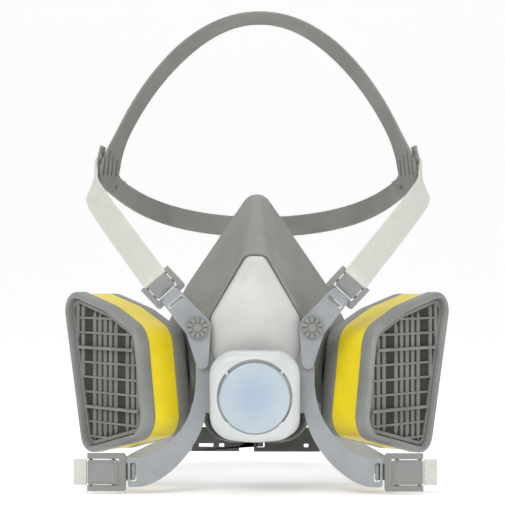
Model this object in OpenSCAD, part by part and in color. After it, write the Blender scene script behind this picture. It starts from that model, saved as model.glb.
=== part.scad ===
// Reusable elastomeric half mask with two side cartridges, a head cradle and a neck strap.
// +Z is up, the wearer looks along -Y, and X = 0 is the mirror plane.
// The origin is the centre of the face seal opening.

/* [Faceblank] */
// Height of the face seal, nose tip to chin
seal_h = 122; // [115:1:128]
// Half width of the face seal at the cheeks
seal_half_w = 50; // [48:0.5:51]
// Depth from the face seal to the front shell
front_depth = 50; // [49:0.5:51]
// Wall thickness of the soft faceblank
wall = 2.4; // [2:0.1:2.8]
// Width of the turned-in sealing lip
lip_w = 8; // [6:0.5:9]

/* [Front] */
// Half width of the rigid front shell
shell_half_w = 21.3; // [20:0.1:22]
// Height of the exhalation valve's centre above the origin
valve_z = -35.3; // [-36:0.1:-34.5]
// Width across the valve cover
cover_w = 42.4; // [40:0.2:43]
// Depth of the valve cover
cover_d = 10.8; // [9:0.2:12]
// Outer radius of the cover's ring of slots
slot_ring_r = 17.6; // [17:0.1:18]

/* [Cartridges] */
// Thickness of a cartridge along its axis
cartridge_t = 30.2; // [29:0.1:32]
// Angle of a cartridge's face away from straight ahead
cartridge_angle = 54; // [53:0.5:55]
// Outer radius of the inhalation port's tube
port_r = 13; // [12:0.1:13.5]

/* [Harness] */
// Width of the webbing
strap_w = 12.8; // [11:0.1:13]
// Thickness of the webbing
strap_t = 1.4; // [1:0.1:1.8]
// Width of the moulded cradle band
cradle_w = 11.5; // [10:0.5:13]
// Thickness of the moulded cradle band
cradle_t = 1.8; // [1.5:0.1:2.2]
// Radius of the rosette rivets
rosette_r = 4.8; // [4.4:0.1:5.2]

/* [Hidden] */

$fn = 48;
eps = 0.01;
air = 0.3;                          // gap between pieces that move past each other
grey = [0.45, 0.45, 0.43];
dark = [0.3, 0.31, 0.3];
cream = [0.86, 0.86, 0.83];
white = [0.9, 0.91, 0.89];
milky = [0.8, 0.86, 0.9];

// Layers in front of the faceblank, each as the Y of its back face
shell_y = -front_depth;
shell_t = 4.4;
yoke_t = 2.4;
yoke_y = shell_y - shell_t - 0.2;
link_t = 2.5;
link_y = yoke_y - yoke_t - air;
cover_y = link_y - link_t - air;
disc_t = 1.4;

// ---------- shapes made from points ----------

function lerp(a, b, t) = a + (b - a) * t;
function unit(v) = v / norm(v);
function grow(circles, d) = [for (c = circles) [c[0], c[1], max(c[2] + d, 0.3)]];
function blend(a, b, t) = [for (i = [0 : len(a) - 1]) lerp(a[i], b[i], t)];
function reach(c, a) = c[0] * cos(a) + c[1] * sin(a) + c[2];
function furthest(circles, a) =
    let (best = max([for (c = circles) reach(c, a)]))
    [for (c = circles) if (reach(c, a) >= best - 1e-9) c][0];
function rim_point(circles, a) =
    let (c = furthest(circles, a)) [c[0] + c[2] * cos(a), c[1] + c[2] * sin(a)];
// The outline stretched round a set of [x, y, radius] circles
function outline(circles, n = 40) = [for (k = [0 : n - 1]) rim_point(circles, 360 * (k + 0.5) / n)];
function both_sides(circles) = concat(circles, [for (c = circles) [-c[0], c[1], c[2]]]);
function bezier(p, t) =
    len(p) == 1 ? p[0] : bezier([for (i = [0 : len(p) - 2]) lerp(p[i], p[i + 1], t)], t);
function total(points, k = 0) = k == len(points) - 1 ? points[k] : points[k] + total(points, k + 1);
function middle(ring) = total(ring) / len(ring);

// Closed skin through rings of points, with a fan over each end
module loft(rings) {
    n = len(rings[0]);
    m = len(rings);
    points = concat([for (r = rings) each r], [middle(rings[0]), middle(rings[m - 1])]);
    sides = [for (i = [0 : m - 2], k = [0 : n - 1])
        let (a = i * n + k, b = i * n + (k + 1) % n)
        each [[a, b + n, b], [a, a + n, b + n]]];
    near = [for (k = [0 : n - 1]) [n * m, k, (k + 1) % n]];
    far = [for (k = [0 : n - 1]) let (o = n * (m - 1)) [n * m + 1, o + (k + 1) % n, o + k]];
    polyhedron(points, concat(sides, near, far));
}

// Flat band swept along a path; across holds the direction of its width at each point
function band_ring(path, across, i, w, t) =
    let (
        last = len(path) - 1,
        along = unit(path[min(i + 1, last)] - path[max(i - 1, 0)]),
        side = unit(across[i] - along * (across[i] * along)),
        face = cross(along, side)
    )
    [for (c = [[1, 1], [-1, 1], [-1, -1], [1, -1]]) path[i] + side * c[0] * w / 2 + face * c[1] * t / 2];
// widths is one width, or one for each point
module band(path, across, widths, t) {
    loft([for (i = [0 : len(path) - 1])
        band_ring(path, across, i, is_list(widths) ? widths[i] : widths, t)]);
}
function curve(p, n) = [for (i = [0 : n]) bezier(p, i / n)];
// Curve through every point, with n steps between neighbours
function through(p, n) =
    let (last = len(p) - 1)
    concat([for (i = [0 : last - 1], k = [0 : n - 1])
        let (
            t = k / n,
            a = p[max(i - 1, 0)],
            b = p[i],
            c = p[i + 1],
            d = p[min(i + 2, last)]
        )
        (2 * b + (c - a) * t + (2 * a - 5 * b + 4 * c - d) * t * t
            + (3 * b - a - 3 * c + d) * t * t * t) / 2],
        [p[last]]);

// Plate in an XZ plane: its back face is at y, and it is t thick towards the front
module plate(y, t) {
    translate([0, y, 0])
        rotate([90, 0, 0])
            linear_extrude(t)
                children();
}

module mirrored(side) {
    if (side < 0)
        mirror([1, 0, 0]) children();
    else
        children();
}

// ---------- faceblank ----------

seal_circles = both_sides([
    [0, seal_h / 2 - 7.5, 7.5],
    [seal_half_w - 32.1, 5, 20],
    [seal_half_w - 24, -20, 24],
    [9, -seal_h / 2 + 17.5, 17.5]
]);
front_circles = both_sides([
    [2.2, 26, 5.6],
    [shell_half_w - 6.4, -2, 8],
    [shell_half_w - 6.4, -2, 8],
    [shell_half_w - 8, -47, 9.5]
]);
// The cheeks sweep back and the nose and the chin of the front lean back
function sweep(p, s) = 8 * pow(p[0] / seal_half_w, 2) * pow(1 - s, 2);
function lean(z) = 9 * pow(max(z, 0) / 31, 2) + 3 * pow(max(-z - 40, 0) / 15, 2);
function skin_ring(s, d, dy = 0) =
    [for (p = outline(grow(blend(seal_circles, front_circles, s), d)))
        [p[0], -front_depth * s + dy + sweep(p, s) + s * lean(p[1]), p[1]]];

cheek_bulge = 1.6;
collar_h = 10;
collar_wall = 5;
function bulge(s) = s < 0.9 ? cheek_bulge * sin(180 * s) : 0;
function cavity_bulge(s) = cheek_bulge * sin(180 * s);

module faceblank_outside() {
    loft([
        skin_ring(0, -3, 2.5),
        skin_ring(0, -0.6, 1.4),
        for (s = [0.03, 0.15, 0.3, 0.45, 0.6, 0.75, 0.9, 1]) skin_ring(s, bulge(s))
    ]);
}

// The hollow for the face, narrowed by the turned-in lip at the seal
module faceblank_inside() {
    loft([
        skin_ring(0, -lip_w, 6),
        skin_ring(0, -lip_w),
        skin_ring(0.08, -lip_w + 1.5),
        skin_ring(0.16, -wall),
        for (s = [0.3, 0.45, 0.6, 0.75, 0.9]) skin_ring(s, cavity_bulge(s) - wall),
        skin_ring(1, -wall),
        skin_ring(1, -wall, -3)
    ]);
}

module faceblank() {
    color(grey)
        difference() {
            union() {
                faceblank_outside();
                for (side = [-1, 1])
                    at_port(side)
                        translate([0, 0, -collar_h])
                            cylinder(r = port_r + collar_wall, h = collar_h - gasket_t);
            }
            faceblank_inside();
            for (side = [-1, 1])
                at_port(side)
                    translate([0, 0, -40]) {
                        cylinder(r = port_r, h = 50);
                        cylinder(r = port_flange_r + 0.2, h = 40 - gasket_t - port_l + port_flange_t + 0.1);
                    }
        }
}

// ---------- front shell and exhalation valve ----------

shell_circles = both_sides([
    [1.6, 25.6, 4.6],
    [shell_half_w - 7.5, -1, 7.5],
    [shell_half_w - 8.5, -47, 8.5]
]);
neck_r = 18;
bore_r = 14;
function shell_ring(d, dy) =
    [for (p = outline(grow(shell_circles, d))) [p[0], shell_y + dy + lean(p[1]), p[1]]];

module front_shell() {
    color(cream)
        difference() {
            loft([
                shell_ring(0, -0.1),
                shell_ring(0, -2.4),
                shell_ring(-0.9, -3.7),
                shell_ring(-3, -shell_t)
            ]);
            loft([shell_ring(-2.2, 1), shell_ring(-2.2, -1), shell_ring(-4, -2.2)]);
            at_valve()
                cylinder(r = neck_r, h = 30, center = true);
        }
}

// Local frame of the exhalation valve: z runs forwards from the shell's back face
module at_valve() {
    translate([0, shell_y, valve_z])
        rotate([90, 0, 0])
            children();
}

seat_h = -cover_y - front_depth + 1.2;
module spider(r, h) {
    for (a = [0, 60, 120])
        rotate(a)
            translate([-r, -0.8, 0])
                cube([2 * r, 1.6, h]);
    cylinder(r = 2.8, h = h);
}

module valve_seat() {
    color(cream)
        at_valve() {
            difference() {
                cylinder(r = neck_r, h = seat_h);
                translate([0, 0, -1])
                    cylinder(r = bore_r, h = seat_h + 2);
            }
            translate([0, 0, seat_h - 4])
                intersection() {
                    cylinder(r = bore_r + 0.5, h = 3);
                    spider(bore_r + 2, 3);
                }
            translate([0, 0, seat_h - 2])
                cylinder(r = 1.6, h = 4.4);
        }
}

flap_t = 0.8;
module exhalation_valve() {
    color(white)
        at_valve()
            translate([0, 0, seat_h + 0.1])
                difference() {
                    union() {
                        cylinder(r = bore_r + 1.2, h = flap_t);
                        cylinder(r = 3, h = flap_t + 0.8);
                    }
                    translate([0, 0, -1])
                        cylinder(r = 1.7, h = 4);
                }
}

cover_circles = both_sides([
    [cover_w / 2 - 12, 9.4, 12],
    [cover_w / 2 - 12, -9.4, 12],
    [1, -10.4, 12]
]);
function cover_ring(d, h) = [for (p = outline(grow(cover_circles, d))) [p[0], p[1], h]];
slot_w = 1.7;
disc_r = slot_ring_r - slot_w - 0.2;
module valve_cover() {
    base = -cover_y - front_depth;
    color(cream)
        at_valve()
            difference() {
                translate([0, 0, base])
                    loft([
                        cover_ring(0, 0),
                        cover_ring(0, cover_d - 4.2),
                        cover_ring(-0.9, cover_d - 1.9),
                        cover_ring(-2.8, cover_d - 0.4),
                        cover_ring(-4.6, cover_d)
                    ]);
                translate([0, 0, base + 1.3])
                    cylinder(r = slot_ring_r + 0.8, h = cover_d - 4.4);
                translate([0, 0, base - 1])
                    cylinder(r = neck_r + 0.1, h = cover_d - 4);
                for (a = [45 : 90 : 315])
                    rotate(a + 2)
                        rotate_extrude(angle = 86)
                            translate([slot_ring_r - slot_w, base + cover_d - 5])
                                square([slot_w, 8]);
                translate([0, 0, base + cover_d - disc_t])
                    cylinder(r = disc_r + air, h = 4);
            }
}

module cover_disc() {
    color(milky)
        at_valve()
            translate([0, 0, -cover_y - front_depth + cover_d - disc_t])
                cylinder(r = disc_r, h = disc_t);
}

// ---------- yoke, links and rivets ----------

pivot = [26.8, -3.3];
pivot_r = 2.5;
arm_line = [[25, -30], [25.2, -50], [34, -63.5], [54, -71.5]];
arm_half = [3, 4.2, 5, 7];
tab_end = 59.9;
bar_x = 57.3;
buckle_z = -71.5;
arm_steps = 14;
rail = [[21.9, -4], [21.6, -14], [17, -24], [17, -40], [21.8, -44], [27.9, -40], [27.9, -4]];
function normal2(p, t) =
    let (d = bezier(p, min(t + 0.01, 1)) - bezier(p, max(t - 0.01, 0))) unit([-d[1], d[0]]);
function arm_edge(t, k) = bezier(arm_line, t) + k * normal2(arm_line, t) * bezier(arm_half, t);

module arm_outline() {
    polygon(concat(
        [for (i = [0 : arm_steps]) arm_edge(i / arm_steps, 1)],
        [for (i = [arm_steps : -1 : 0]) arm_edge(i / arm_steps, -1)]));
    translate([tab_end - 7, buckle_z - 7])
        square([7, 14]);
}

module yoke() {
    color(milky)
        difference() {
            union() {
                plate(yoke_y, yoke_t)
                    translate([0, valve_z])
                        circle(r = neck_r + 2.8, $fn = 64);
                for (side = [-1, 1])
                    mirrored(side) {
                        plate(yoke_y, yoke_t)
                            polygon(rail);
                        plate(yoke_y, yoke_t)
                            translate(pivot)
                                circle(r = 5.6);
                        plate(yoke_y, yoke_t)
                            arm_outline();
                        plate(yoke_y - yoke_t + eps, 1)
                            translate([52, buckle_z])
                                circle(r = 3.6);
                    }
            }
            at_valve()
                cylinder(r = neck_r + 0.1, h = 40, center = true);
            for (side = [-1, 1])
                mirrored(side) {
                    plate(yoke_y + 1, 6)
                        translate(pivot)
                            circle(r = pivot_r);
                    plate(yoke_y + 1, 6)
                        translate([bar_x - 1.4, buckle_z - 4.6])
                            square([2.8, 9.2]);
                }
        }
}

link_circles = [[pivot[0], pivot[1], 6.1], [24.7, -19.8, 3]];
link_top_circles = [[pivot[0], pivot[1], 6.1], [37.6, 12.6, 2.6], [40.4, 9, 3]];
link_slot_at = [37.4, 8.7];
module upper_link(side) {
    color(milky)
        mirrored(side)
            difference() {
                union() {
                    plate(link_y, link_t)
                        polygon(outline(link_circles));
                    plate(link_y, link_t)
                        polygon(outline(link_top_circles));
                }
                plate(link_y + 1, 6)
                    translate(pivot)
                        circle(r = pivot_r + 0.08);
                plate(link_y + 1, 6)
                    translate(link_slot_at)
                        rotate(-42)
                            square([8, 1.6], center = true);
            }
}

module pivot_rivet(side) {
    head_h = 2.2;
    notches = 10;
    color(grey)
        mirrored(side)
            translate([pivot[0], 0, pivot[1]])
                rotate([90, 0, 0]) {
                    translate([0, 0, -yoke_y - 1.4])
                        cylinder(r = 4, h = 1.4);
                    translate([0, 0, -yoke_y - 0.5])
                        cylinder(r = pivot_r, h = yoke_t + link_t + 2 * air + 0.6);
                    translate([0, 0, -link_y + link_t + air])
                        difference() {
                            cylinder(r = rosette_r, h = head_h);
                            for (k = [0 : notches - 1])
                                rotate(360 * k / notches)
                                    translate([rosette_r - 1.7, -0.35, head_h - 1.1])
                                        cube([3, 0.7, 3]);
                            translate([0, 0, head_h - 0.6])
                                difference() {
                                    cylinder(r = 2.7, h = 2);
                                    translate([0, 0, -1])
                                        cylinder(r = 1.9, h = 4);
                                }
                        }
                }
}

// ---------- upper buckles and head straps ----------

buckle_tilt = 43;
upper_buckle_at = [43.2, 15.2];
upper_buckle_l = 12.8;
upper_buckle_w = 17.2;
buckle_t = 2.4;
buckle_y = yoke_y;
// Ladder buckle lying in an XZ plane: its strap leaves along local +Y
module ladder(l, w, t) {
    corner = 1.4;
    difference() {
        plate(0, t)
            polygon(outline(both_sides([
                [w / 2 - corner, l / 2 - corner, corner],
                [w / 2 - corner, corner - l / 2, corner]
            ])));
        for (z = [-1, 1])
            plate(1, t + 2)
                translate([0, z * (l / 4 - 0.3)])
                    square([w - 4, 2.6], center = true);
    }
    plate(-t + eps, 1)
        square([w - 5.4, l / 2 - 3.4], center = true);
}

module upper_buckle(side) {
    color(grey)
        mirrored(side) {
            translate([upper_buckle_at[0], buckle_y, upper_buckle_at[1]])
                rotate([0, buckle_tilt, 0])
                    ladder(upper_buckle_l, upper_buckle_w, buckle_t);
            // Hook that comes up through the link's slot
            plate(buckle_y, buckle_t + air + link_t)
                translate(link_slot_at)
                    rotate(-42)
                        square([7.4, 1.2], center = true);
        }
}

// The head strap leaves the buckle flat to the front, then turns its face outwards
head_path = [
    [49, -55.8, 21.5],
    [59, -32, 33],
    [71.4, -5, 47.3],
    [80.5, 18, 58.2],
    [85.2, 36, 64.5],
    [85.2, 49.3, 69.8],
    [84.6, 53.2, 71.6]
];
head_low = [-0.755, 0, 0.656];
head_high = [0.27, -0.52, 0.81];
head_steps = 4;
module head_strap(side) {
    path = through(head_path, head_steps);
    last = len(path) - 1;
    across = [for (i = [0 : last]) lerp(head_low, head_high, pow(i / last, 1.8))];
    color(white)
        mirrored(side)
            band(path, across, strap_w, strap_t);
}

// ---------- head cradle ----------

// Halves of the crown band and of the rear band, from the corner plate to the middle
crown_half = [[79.3, 58, 68], [75.6, 62, 97], [48, 88, 145], [22, 106, 158.8], [0, 106, 158.8]];
rear_half = [[80.9, 54, 71.5], [70, 80, 62], [63, 140, 50], [25, 142, 46], [0, 142, 46]];
plate_dir = [-0.46, 0.89, 0];
plate_w = 18.5;
plate_at = [78.6, 58.6, 76];
half_steps = 18;
function both_ways(p) =
    let (h = curve(p, half_steps), n = len(h))
    concat(h, [for (i = [n - 2 : -1 : 0]) [-h[i][0], h[i][1], h[i][2]]]);
function across_at(p) =
    let (lift = max(p[2] - 80, 0) / 80, turn = min(abs(p[0]) / 40, 1) * sign(p[0]))
    unit([plate_dir[0] * turn, plate_dir[1], -0.5 * lift]);
function crown_width(p) = cradle_w + (plate_w - cradle_w) * pow(max(1 - max(p[2] - 78, 0) / 20, 0), 2);

module corner_slots() {
    slots = 4;
    pitch = 4.1;
    translate(plate_at)
        rotate([0, 0, atan2(plate_dir[1], plate_dir[0]) - 90])
            for (k = [0 : slots - 1])
                translate([0, -5.2 + pitch * k, 2.4 - 1.2 * abs(k - 1)])
                    cube([12, 1.4, 13 - 2 * abs(k - 1)], center = true);
}

// Fills the inside of the corner with a rounded gusset
module corner_gusset() {
    radius = 5.5;
    translate(plate_at)
        rotate([0, 0, atan2(plate_dir[1], plate_dir[0])])
            rotate([90, 0, 0])
                linear_extrude(cradle_t, center = true)
                    difference() {
                        translate([8.5, -10])
                            square([8, 14]);
                        translate([16.5, 4])
                            circle(r = radius);
                    }
}

module head_cradle() {
    crown = both_ways(crown_half);
    rear = both_ways(rear_half);
    color(grey)
        difference() {
            union() {
                band(crown, [for (p = crown) across_at(p)], [for (p = crown) crown_width(p)], cradle_t);
                band(rear, [for (p = rear) [0, -0.1, 1]], cradle_w, cradle_t);
                for (side = [-1, 1])
                    mirrored(side) corner_gusset();
            }
            for (side = [-1, 1])
                mirrored(side) {
                    corner_slots();
                    translate([75.2, 69.5, 66])
                        rotate([0, 90, atan2(plate_dir[1], plate_dir[0]) - 90])
                            cylinder(r = 0.9, h = 12, center = true);
                }
        }
}

module strap_clip(side) {
    color(grey)
        mirrored(side)
            translate([78.2, 59.5, 82.6])
                rotate([0, -18, atan2(plate_dir[1], plate_dir[0]) - 90])
                    translate([1.3, -9, -3])
                        difference() {
                            cube([1.5, 7, 9]);
                            translate([-1, 2, 1.4])
                                cube([4, 3, 2.6]);
                        }
}

// ---------- lower buckles and neck strap ----------

lower_buckle_l = 18.2;
lower_y = yoke_y - 0.2;
module lower_buckle(side) {
    inner_x = tab_end + 0.9;
    frame_t = 2.4;
    color(grey)
        mirrored(side) {
            translate([inner_x + lower_buckle_l / 2, lower_y, buckle_z])
                rotate([0, 90, 0])
                    ladder(lower_buckle_l, 17.9, frame_t);
            // Hook behind the tab, with the hinge bar that lies in the tab's slot
            translate([bar_x - 0.9, yoke_y + 0.4, buckle_z - 4])
                cube([inner_x - bar_x + 3.5, 1.6, 8]);
            translate([inner_x + 0.6, lower_y - 1, buckle_z - 4])
                cube([2, 3.6, 8]);
            translate([bar_x, yoke_y - yoke_t / 2, buckle_z - 4])
                cylinder(r = 0.9, h = 8);
            translate([bar_x - 0.9, yoke_y - yoke_t / 2, buckle_z - 4])
                cube([1.8, yoke_t / 2 + 1.4, 8]);
        }
}

clasp_y = 98.6;
clasp_z = -69;
neck_path = [
    [66, yoke_y + 5.5, -73.4],
    [64, -30, -73.6],
    [62, 0, -73.6],
    [56, 40, -72],
    [47, 76, -70.6],
    [37, clasp_y, clasp_z]
];
neck_steps = 20;
module neck_strap(side) {
    path = curve(neck_path, neck_steps);
    color(white)
        mirrored(side)
            band(path, [for (p = path) [0, 0, 1]], strap_w - 0.8, strap_t);
}

module strap_tail(side) {
    color(white)
        mirrored(side)
            translate([tab_end + lower_buckle_l + 1.2, lower_y - 1.6, buckle_z - strap_w / 2 + 0.3])
                cube([6, strap_t, strap_w - 0.6]);
}

clasp_h = 13;
clasp_t = 2.4;
// Narrow slit right through a clasp piece, w wide round x
module clasp_slit(x, w) {
    plate(clasp_y + 3 * clasp_t + 1, 5 * clasp_t)
        translate([x, clasp_z - 3.2])
            square([w, 1.9], center = true);
}

module neck_clasp_hook() {
    color(dark)
        difference() {
            union() {
                plate(clasp_y + 2 * clasp_t + air, clasp_t)
                    translate([-24.5, clasp_z])
                        square([27, clasp_h], center = true);
                plate(clasp_y + 2 * clasp_t + air, clasp_t)
                    translate([-5, clasp_z])
                        square([14, 8], center = true);
                plate(clasp_y + clasp_t + air + eps, clasp_t - 0.4)
                    translate([0.2, clasp_z])
                        square([2.4, 7.4], center = true);
            }
            for (slit = [[-28.8, 7.8], [-20.4, 2.7]])
                clasp_slit(slit[0], slit[1]);
        }
}

module neck_clasp_loop() {
    color(dark)
        difference() {
            plate(clasp_y + clasp_t, clasp_t)
                translate([14.8, clasp_z])
                    square([35.6, clasp_h], center = true);
            plate(clasp_y + 2 * clasp_t, 3 * clasp_t)
                translate([0.6, clasp_z])
                    square([4.4, 8.4], center = true);
            clasp_slit(25.2, 2.5);
        }
}

// ---------- cartridges and inhalation valves ----------

gasket_t = 2;
cartridge_at = [48.36, -13.65];
port_shift = -8;                    // the port lies forward of the middle of the cartridge's back
port_drop = 27;
// Local frames: z runs out through the cartridge, y is up
module at_cartridge(side) {
    mirrored(side)
        translate([cartridge_at[0], cartridge_at[1], 0])
            rotate([90, 0, cartridge_angle])
                children();
}
module at_port(side) {
    at_cartridge(side)
        translate([port_shift, -port_drop, 0])
            children();
}

face_circles = [[29.3, 2.9, 9.5], [6, -16, 23], [14.6, -56, 9.5], [-15, -14.5, 14], [-22, -45.5, 12]];
function face_outline(d) = outline(grow(face_circles, d), 56);
function face_ring(d, h) = [for (p = face_outline(d)) [p[0], p[1], h]];

band_in = 9;                        // the label's band, measured from the back
band_out = 22.7;
module cartridge_body(side) {
    rim_t = cartridge_t - band_out;
    color(grey)
        at_cartridge(side)
            difference() {
                union() {
                    loft([
                        face_ring(-5, 0),
                        face_ring(-2.4, 1.6),
                        face_ring(-1, 6),
                        face_ring(-1, band_in)
                    ]);
                    translate([0, 0, band_in - eps])
                        linear_extrude(band_out - band_in + 2 * eps)
                            polygon(face_outline(-1.5));
                    translate([0, 0, band_out])
                        loft([
                            face_ring(-0.8, 0),
                            face_ring(0, 1),
                            face_ring(0, rim_t - 1.2),
                            face_ring(-1, rim_t)
                        ]);
                }
                translate([0, 0, 3])
                    linear_extrude(cartridge_t)
                        polygon(face_outline(-3.6));
                translate([port_shift, -port_drop, -1])
                    cylinder(r = port_r - 2.2, h = 5);
            }
}

module cartridge_label(side) {
    color([0.93, 0.85, 0.12])
        at_cartridge(side)
            translate([0, 0, band_in + 0.2])
                linear_extrude(band_out - band_in - 0.4)
                    difference() {
                        polygon(face_outline(-1));
                        polygon(face_outline(-1.5));
                    }
}

grille_t = 2;
rows = 9;
slot_columns = [[-24, 9], [-5.5, 20], [18.5, 17]];
module cartridge_grille(side) {
    pitch = 7;
    color(dark)
        at_cartridge(side)
            translate([0, 0, cartridge_t - 1.2 - grille_t])
                linear_extrude(grille_t)
                    difference() {
                        polygon(face_outline(-3.8));
                        intersection() {
                            polygon(face_outline(-6.5));
                            for (c = slot_columns, k = [0 : rows])
                                translate([c[0], 5 - pitch * k])
                                    square([c[1], pitch - 2.6], center = true);
                        }
                    }
}

module dust_screen(side) {
    color(dark)
        at_cartridge(side)
            for (h = [3.1, cartridge_t - grille_t - 2.6])
                translate([0, 0, h])
                    linear_extrude(1)
                        polygon(face_outline(-3.8));
}

module sorbent_bed(side) {
    color([0.15, 0.15, 0.15])
        at_cartridge(side)
            translate([0, 0, 4.3])
                linear_extrude(cartridge_t - grille_t - 7.1)
                    polygon(face_outline(-3.8));
}

module cartridge_gasket(side) {
    color([0.12, 0.12, 0.12])
        at_port(side)
            translate([0, 0, -gasket_t + 0.02])
                difference() {
                    cylinder(r = port_r + 4.6, h = gasket_t - 0.04);
                    translate([0, 0, -1])
                        cylinder(r = port_r - 2, h = gasket_t + 2);
                }
}

port_l = 12.4;
port_flange_r = port_r + 1.2;
port_flange_t = 1.2;
module inhalation_port(side) {
    color(cream)
        at_port(side)
            translate([0, 0, -gasket_t - port_l]) {
                difference() {
                    union() {
                        cylinder(r = port_r - 0.02, h = port_l);
                        cylinder(r = port_flange_r, h = port_flange_t);
                    }
                    translate([0, 0, -1])
                        cylinder(r = port_r - 2.2, h = port_l + 2);
                }
                intersection() {
                    cylinder(r = port_r - 2, h = 2);
                    spider(port_r, 2);
                }
                translate([0, 0, -2.4])
                    cylinder(r = 1.4, h = 3);
            }
}

module inhalation_valve(side) {
    color(white)
        at_port(side)
            translate([0, 0, -gasket_t - port_l - 0.8])
                difference() {
                    cylinder(r = port_r - 1, h = 0.7);
                    translate([0, 0, -1])
                        cylinder(r = 1.5, h = 3);
                }
}

faceblank();
front_shell();
valve_seat();
exhalation_valve();
valve_cover();
cover_disc();
yoke();
upper_link(-1);  // upper_link_left
upper_link(1);  // upper_link_right
pivot_rivet(-1);  // pivot_rivet_left
pivot_rivet(1);  // pivot_rivet_right
upper_buckle(-1);  // upper_buckle_left
upper_buckle(1);  // upper_buckle_right
head_strap(-1);  // head_strap_left
head_strap(1);  // head_strap_right
strap_clip(-1);  // strap_clip_left
strap_clip(1);  // strap_clip_right
head_cradle();
lower_buckle(-1);  // lower_buckle_left
lower_buckle(1);  // lower_buckle_right
neck_strap(-1);  // neck_strap_left
neck_strap(1);  // neck_strap_right
strap_tail(-1);  // strap_tail_left
strap_tail(1);  // strap_tail_right
neck_clasp_hook();
neck_clasp_loop();
cartridge_body(-1);  // cartridge_body_left
cartridge_body(1);  // cartridge_body_right
cartridge_grille(-1);  // cartridge_grille_left
cartridge_grille(1);  // cartridge_grille_right
cartridge_label(-1);  // cartridge_label_left
cartridge_label(1);  // cartridge_label_right
sorbent_bed(-1);  // sorbent_bed_left
sorbent_bed(1);  // sorbent_bed_right
dust_screen(-1);  // dust_screen_left
dust_screen(1);  // dust_screen_right
cartridge_gasket(-1);  // cartridge_gasket_left
cartridge_gasket(1);  // cartridge_gasket_right
inhalation_port(-1);  // inhalation_port_left
inhalation_port(1);  // inhalation_port_right
inhalation_valve(-1);  // inhalation_valve_left
inhalation_valve(1);  // inhalation_valve_right
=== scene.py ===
import math
import bpy
import bmesh
from mathutils import Matrix, Vector


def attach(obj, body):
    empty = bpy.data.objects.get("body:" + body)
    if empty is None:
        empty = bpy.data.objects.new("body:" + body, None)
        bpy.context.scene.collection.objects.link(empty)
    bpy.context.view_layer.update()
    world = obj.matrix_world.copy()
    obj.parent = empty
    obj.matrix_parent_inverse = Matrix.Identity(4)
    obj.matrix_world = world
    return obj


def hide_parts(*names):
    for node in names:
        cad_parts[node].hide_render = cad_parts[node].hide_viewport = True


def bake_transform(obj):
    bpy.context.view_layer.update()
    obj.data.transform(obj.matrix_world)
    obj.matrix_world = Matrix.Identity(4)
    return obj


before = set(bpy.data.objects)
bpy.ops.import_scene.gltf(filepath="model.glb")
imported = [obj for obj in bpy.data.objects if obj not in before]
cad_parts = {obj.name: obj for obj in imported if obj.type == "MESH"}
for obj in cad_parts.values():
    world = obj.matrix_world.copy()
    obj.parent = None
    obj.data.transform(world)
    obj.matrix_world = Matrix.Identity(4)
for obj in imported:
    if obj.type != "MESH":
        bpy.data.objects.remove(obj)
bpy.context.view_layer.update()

MM = 0.001

# ---------------------------------------------------------------- camera

CAMERA_DISTANCE = 1.12
CAMERA_HEIGHT = 0.0318
CAMERA_YAW = math.radians(0.8)
camera_data = bpy.data.cameras.new("camera")
camera_data.sensor_width = 36.0
camera_data.lens = 161.3
camera_data.shift_x = -0.0085
camera_data.clip_start = 0.05
camera_data.clip_end = 30.0
camera = bpy.data.objects.new("camera", camera_data)
camera.location = (CAMERA_DISTANCE * math.sin(CAMERA_YAW), -CAMERA_DISTANCE * math.cos(CAMERA_YAW),
                   CAMERA_HEIGHT)
camera.rotation_euler = (math.radians(90), 0, CAMERA_YAW)
bpy.context.scene.collection.objects.link(camera)
bpy.context.scene.camera = camera

# ---------------------------------------------------------------- materials


def node(tree, kind, **values):
    """A new node with its inputs set by name, or by number where the key is in_N."""
    made = tree.nodes.new(kind)
    for key, value in values.items():
        if key.startswith("in_"):
            made.inputs[int(key[3:])].default_value = value
        elif hasattr(made, key):
            setattr(made, key, value)
        else:
            made.inputs[key].default_value = value
    return made


def srgb(r, g, b):
    """Linear colour of an 0-255 sRGB colour."""
    def linear(c):
        c /= 255
        return c / 12.92 if c <= 0.04045 else ((c + 0.055) / 1.055) ** 2.4
    return (linear(r), linear(g), linear(b), 1)


def blank(name):
    """A new material with its node tree, its shader and its texture coordinates."""
    material = bpy.data.materials.new(name)
    material.use_nodes = True
    tree = material.node_tree
    return material, tree, tree.nodes["Principled BSDF"], node(tree, "ShaderNodeTexCoord")


def colour_ramp(tree, source, low, high, span=(0.0, 1.0)):
    """Goes from the sRGB colour low to high as source goes over span."""
    ramp = node(tree, "ShaderNodeValToRGB")
    for element, position, colour in zip(ramp.color_ramp.elements, span, (low, high)):
        element.position = position
        element.color = srgb(*colour)
    tree.links.new(source, ramp.inputs["Fac"])
    return ramp.outputs["Color"]


def map_range(tree, source, span=(0.0, 1.0), result=(0.0, 1.0), **values):
    """Maps source from span to result."""
    made = node(tree, "ShaderNodeMapRange", **values)
    for key, value in zip(("From Min", "From Max", "To Min", "To Max"), (*span, *result)):
        made.inputs[key].default_value = value
    tree.links.new(source, made.inputs["Value"])
    return made.outputs["Result"]


def mix_colour(tree, factor, first, second):
    """Goes from first to second with factor; each is a socket or an sRGB colour."""
    mix = node(tree, "ShaderNodeMix", data_type="RGBA")
    tree.links.new(factor, mix.inputs[0])
    for number, colour in ((6, first), (7, second)):
        if isinstance(colour, tuple):
            mix.inputs[number].default_value = srgb(*colour)
        else:
            tree.links.new(colour, mix.inputs[number])
    return mix.outputs[2]


def tint(tree, shader, factor, colour):
    """Mixes colour into the shader's base colour where factor is low."""
    base = shader.inputs["Base Color"]
    tree.links.new(mix_colour(tree, factor, colour, base.links[0].from_socket), base)


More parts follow.
